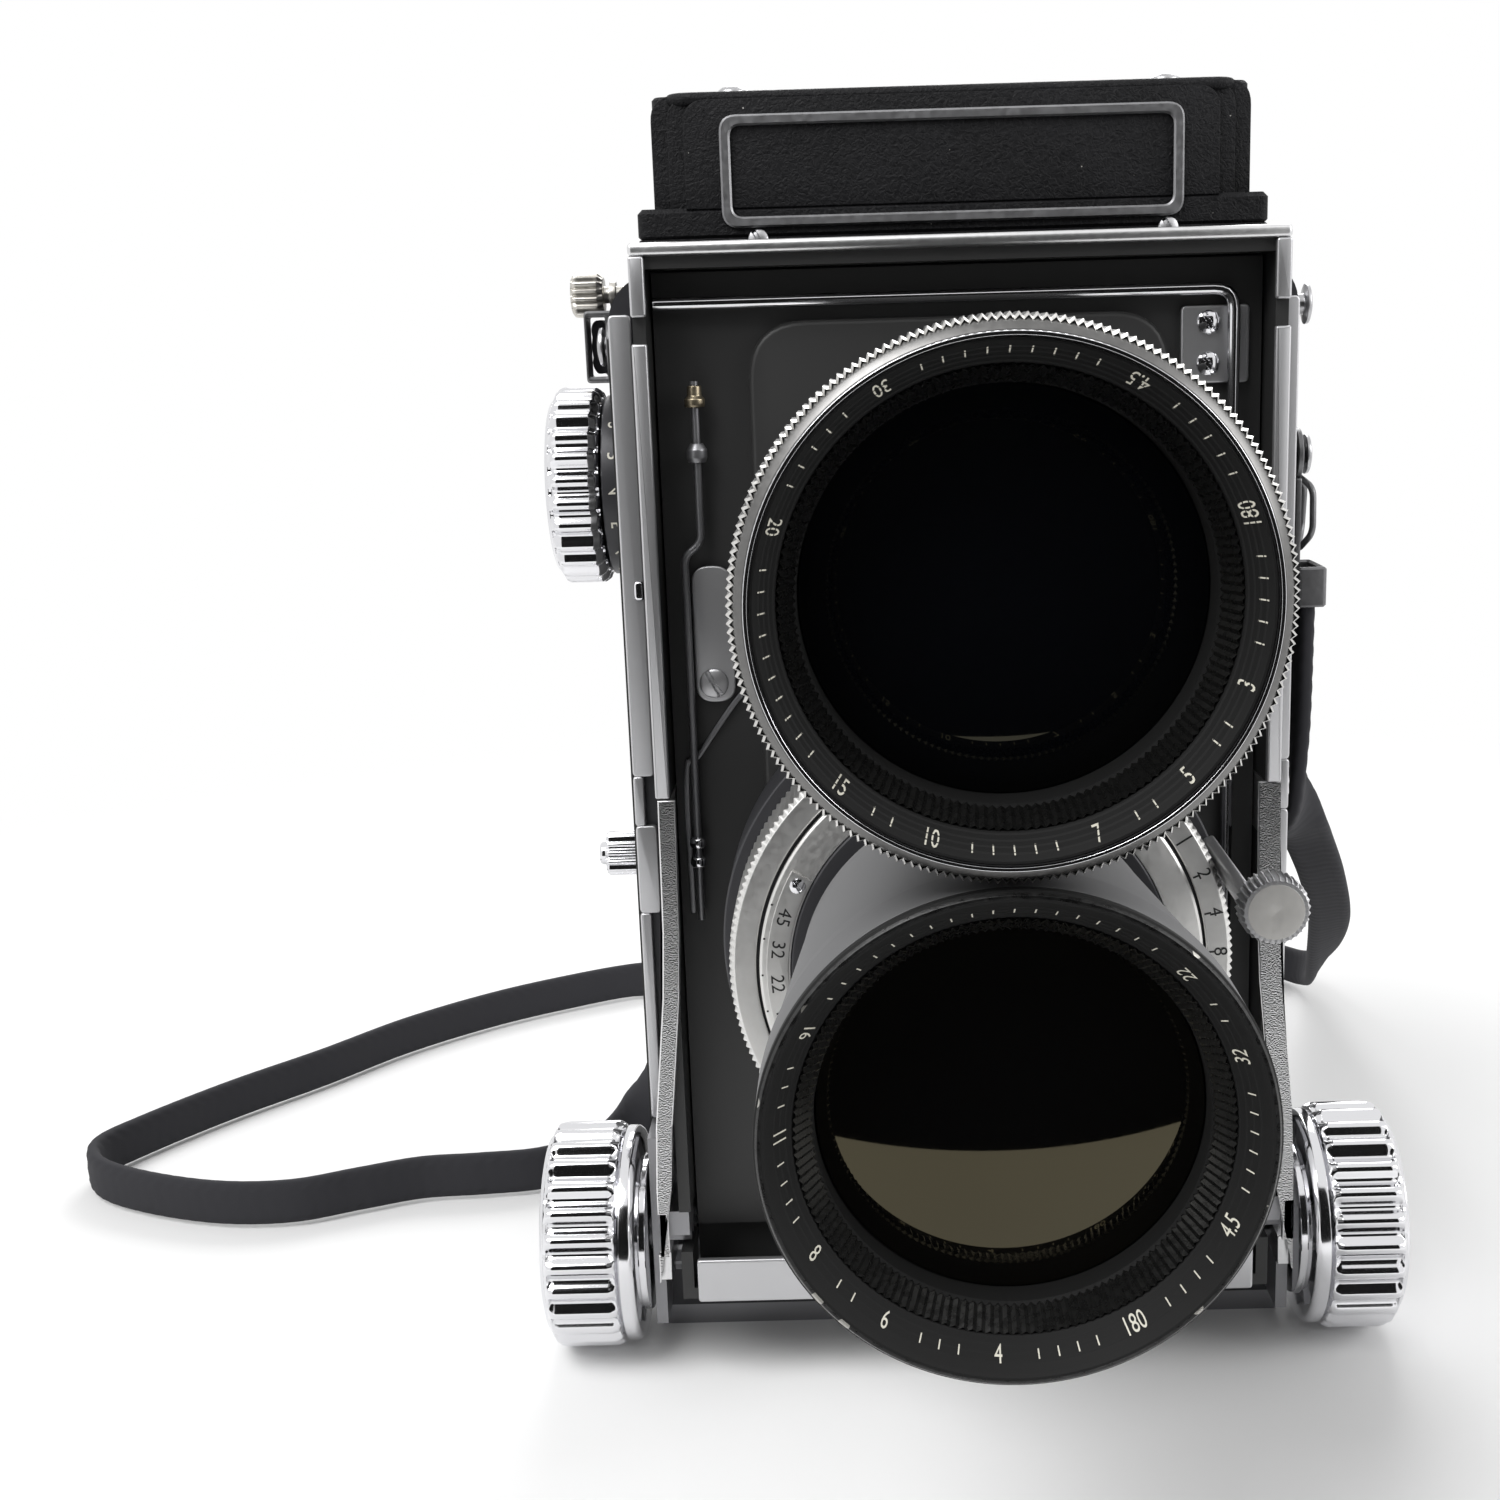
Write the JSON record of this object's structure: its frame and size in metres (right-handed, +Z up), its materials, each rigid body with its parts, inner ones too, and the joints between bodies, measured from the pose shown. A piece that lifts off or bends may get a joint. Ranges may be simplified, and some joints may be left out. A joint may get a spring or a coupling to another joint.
{
  "type": "twin lens reflex camera",
  "caption": "Twin lens reflex camera with bellows focusing, paired long lenses, folding viewing hood, knob drives, opening back and neck strap.",
  "frame": {"origin": "mouth of the tripod socket, in the underside of the base plate", "axes": "+Z up, +Y towards the back door and the user, -Y the way the lenses look, +X to the right seen from the front"},
  "size_m": [0.2335, 0.2546, 0.1729],
  "materials": {
    "black_lacquer": "satin",
    "wrinkle_black": "rough",
    "black_leather": "grained",
    "satin_silver": "satin",
    "bright_chrome": "polished",
    "dark_steel": "satin",
    "grey_barrel": "matte",
    "black_anodised": "matte",
    "brass": "dull",
    "bellows_black": "matte",
    "mirror_glass": "polished",
    "lens_glass": "coated",
    "ground_glass": "ground",
    "spool_red": "matte",
    "strap_cord": "braided"
  },
  "bodies": {
    "body": {"body_shell": "black_lacquer", "base_plate": "satin_silver", "tripod_socket": "bright_chrome", "light_chamber": "black_anodised", "reflex_mirror": "mirror_glass", "film_gate": "black_anodised", "focusing_screen": "ground_glass", "hood_base": "wrinkle_black", "nameplate_frame": "satin_silver", "side_trims": "satin_silver", "side_covers": "black_leather", "focus_bearings": "black_lacquer", "rack_guides": "black_anodised", "strap_studs": "satin_silver", "strap_clips": "dark_steel", "strap": "strap_cord"},
    "hood_screw": {"hood_screw": "bright_chrome"},
    "winding": {"winding_knob": "bright_chrome", "winding_shaft": "dark_steel"},
    "counter": {"counter_dial": "black_lacquer"},
    "takeup": {"takeup_drive": "dark_steel", "takeup_spool": "spool_red"},
    "supply": {"supply_spool": "spool_red"},
    "upper_pin": {"upper_spool_pin": "bright_chrome"},
    "lower_pin": {"lower_spool_pin": "bright_chrome"},
    "upper_roller": {"upper_roller": "dark_steel"},
    "lower_roller": {"lower_roller": "dark_steel"},
    "back": {"back_door": "black_lacquer"},
    "pressure_plate": {"pressure_plate": "black_anodised"},
    "latch": {"back_latch": "bright_chrome"},
    "release": {"release_slider": "bright_chrome"},
    "release_link": {"release_link": "brass"},
    "standard": {"front_housing": "wrinkle_black", "edge_trim": "satin_silver", "lower_cheeks": "satin_silver", "racks": "brass", "lens_board": "black_lacquer", "board_plate": "satin_silver", "bellows": "bellows_black", "shutter_case": "black_anodised", "taking_barrel": "grey_barrel", "taking_retainer": "black_anodised", "taking_glass": "lens_glass", "viewing_barrel": "black_anodised", "viewing_ring": "dark_steel", "viewing_glass": "lens_glass", "rear_cells": "satin_silver", "rear_glasses": "lens_glass"},
    "bail": {"lens_bail": "bright_chrome"},
    "lever": {"board_lever": "satin_silver"},
    "speed": {"speed_ring": "satin_silver"},
    "aperture": {"aperture_ring": "satin_silver"},
    "cocking": {"cocking_lever": "bright_chrome"},
    "focus_drive": {"focus_shaft": "dark_steel", "focus_knobs": "bright_chrome"},
    "lid": {"hood_lid": "wrinkle_black"},
    "left_flap": {"left_flap": "black_lacquer"},
    "right_flap": {"right_flap": "black_lacquer"},
    "back_flap": {"back_flap": "black_lacquer"},
    "magnifier": {"magnifier": "bright_chrome"}
  },
  "joints": [
    {"name": "focus", "type": "slide", "parent": "body", "child": "standard", "axis": [0, -1, 0], "range_m": [0, 0.055], "deforming": ["bellows"]},
    {"name": "focus_knobs_turn", "type": "hinge", "parent": "body", "child": "focus_drive", "pos_m": [0, -0.0329, 0.0164], "axis": [1, 0, 0], "range_deg": [0, 660]},
    {"name": "hood_screw_turn", "type": "hinge", "parent": "body", "child": "hood_screw", "pos_m": [-0.048, 0.0015, 0.1484], "axis": [1, 0, 0], "continuous": true},
    {"name": "winding_turn", "type": "hinge", "parent": "body", "child": "winding", "pos_m": [-0.05, 0.007, 0.1205], "axis": [1, 0, 0], "continuous": true},
    {"name": "takeup_turn", "type": "hinge", "parent": "body", "child": "takeup", "pos_m": [0, 0.01452, 0.11154], "axis": [1, 0, 0], "continuous": true},
    {"name": "counter_turn", "type": "hinge", "parent": "body", "child": "counter", "pos_m": [-0.046, 0.007, 0.1205], "axis": [1, 0, 0], "continuous": true},
    {"name": "supply_turn", "type": "hinge", "parent": "body", "child": "supply", "pos_m": [0, 0.014, 0.0184], "axis": [1, 0, 0], "continuous": true},
    {"name": "upper_pin_pull", "type": "slide", "parent": "body", "child": "upper_pin", "axis": [1, 0, 0], "range_m": [0, 0.005], "stiffness_N_per_m": 200},
    {"name": "lower_pin_pull", "type": "slide", "parent": "body", "child": "lower_pin", "axis": [1, 0, 0], "range_m": [0, 0.005], "stiffness_N_per_m": 200},
    {"name": "upper_roller_turn", "type": "hinge", "parent": "body", "child": "upper_roller", "pos_m": [0, 0.023, 0.1005], "axis": [1, 0, 0], "continuous": true},
    {"name": "lower_roller_turn", "type": "hinge", "parent": "body", "child": "lower_roller", "pos_m": [0, 0.023, 0.0355], "axis": [1, 0, 0], "continuous": true},
    {"name": "back_hinge", "type": "hinge", "parent": "body", "child": "back", "pos_m": [0, 0.0322, 0.0048], "axis": [-1, 0, 0], "range_deg": [0, 90]},
    {"name": "pressure_plate_give", "type": "slide", "parent": "back", "child": "pressure_plate", "axis": [0, 1, 0], "range_m": [0, 0.001], "stiffness_N_per_m": 300},
    {"name": "latch_slide", "type": "slide", "parent": "back", "child": "latch", "axis": [0, 0, 1], "range_m": [0, 0.003]},
    {"name": "release_press", "type": "slide", "parent": "body", "child": "release", "axis": [0, 0, -1], "range_m": [0, 0.006], "stiffness_N_per_m": 60},
    {"name": "release_link_slide", "type": "slide", "parent": "standard", "child": "release_link", "axis": [0, 0, -1], "range_m": [0, 0.006]},
    {"name": "bail_swing", "type": "hinge", "parent": "standard", "child": "bail", "pos_m": [0, -0.0427, 0.146], "axis": [-1, 0, 0], "range_deg": [0, 75]},
    {"name": "board_lever_turn", "type": "hinge", "parent": "standard", "child": "lever", "pos_m": [-0.0326, -0.0405, 0.0979], "axis": [0, 1, 0], "range_deg": [0, 14]},
    {"name": "speed_ring_turn", "type": "hinge", "parent": "standard", "child": "speed", "pos_m": [0, -0.0685, 0.068], "axis": [0, 1, 0], "range_deg": [0, 120]},
    {"name": "aperture_ring_turn", "type": "hinge", "parent": "standard", "child": "aperture", "pos_m": [0, -0.0715, 0.068], "axis": [0, 1, 0], "range_deg": [0, 70]},
    {"name": "cocking_lever_turn", "type": "hinge", "parent": "standard", "child": "cocking", "pos_m": [0, -0.0735, 0.068], "axis": [0, 1, 0], "range_deg": [0, 48], "stiffness_Nm_per_rad": 0.02},
    {"name": "hood_lid_hinge", "type": "hinge", "parent": "body", "child": "lid", "pos_m": [0, -0.0323, 0.1713], "axis": [1, 0, 0], "range_deg": [0, 90]},
    {"name": "right_flap_hinge", "type": "hinge", "parent": "body", "child": "right_flap", "pos_m": [0.0359, 0, 0.1635], "axis": [0, 1, 0], "range_deg": [0, 90]},
    {"name": "left_flap_hinge", "type": "hinge", "parent": "body", "child": "left_flap", "pos_m": [-0.0359, 0, 0.1635], "axis": [0, -1, 0], "range_deg": [0, 90]},
    {"name": "back_flap_hinge", "type": "hinge", "parent": "body", "child": "back_flap", "pos_m": [0, 0.0242, 0.1635], "axis": [-1, 0, 0], "range_deg": [0, 90]},
    {"name": "magnifier_hinge", "type": "hinge", "parent": "lid", "child": "magnifier", "pos_m": [0, 0.0189, 0.1672], "axis": [1, 0, 0], "range_deg": [0, 90]}
  ],
  "couplings": [
    {"joint": "focus_knobs_turn", "follows": "focus", "rad_per_m": 208.33},
    {"joint": "takeup_turn", "follows": "winding_turn", "ratio": -1},
    {"joint": "counter_turn", "follows": "winding_turn", "ratio": 0.1},
    {"joint": "release_link_slide", "follows": "release_press", "ratio": 1},
    {"joint": "right_flap_hinge", "follows": "hood_lid_hinge", "ratio": 1},
    {"joint": "left_flap_hinge", "follows": "hood_lid_hinge", "ratio": 1},
    {"joint": "back_flap_hinge", "follows": "hood_lid_hinge", "ratio": 1},
    {"joint": "magnifier_hinge", "follows": "hood_lid_hinge", "ratio": 1}
  ]
}
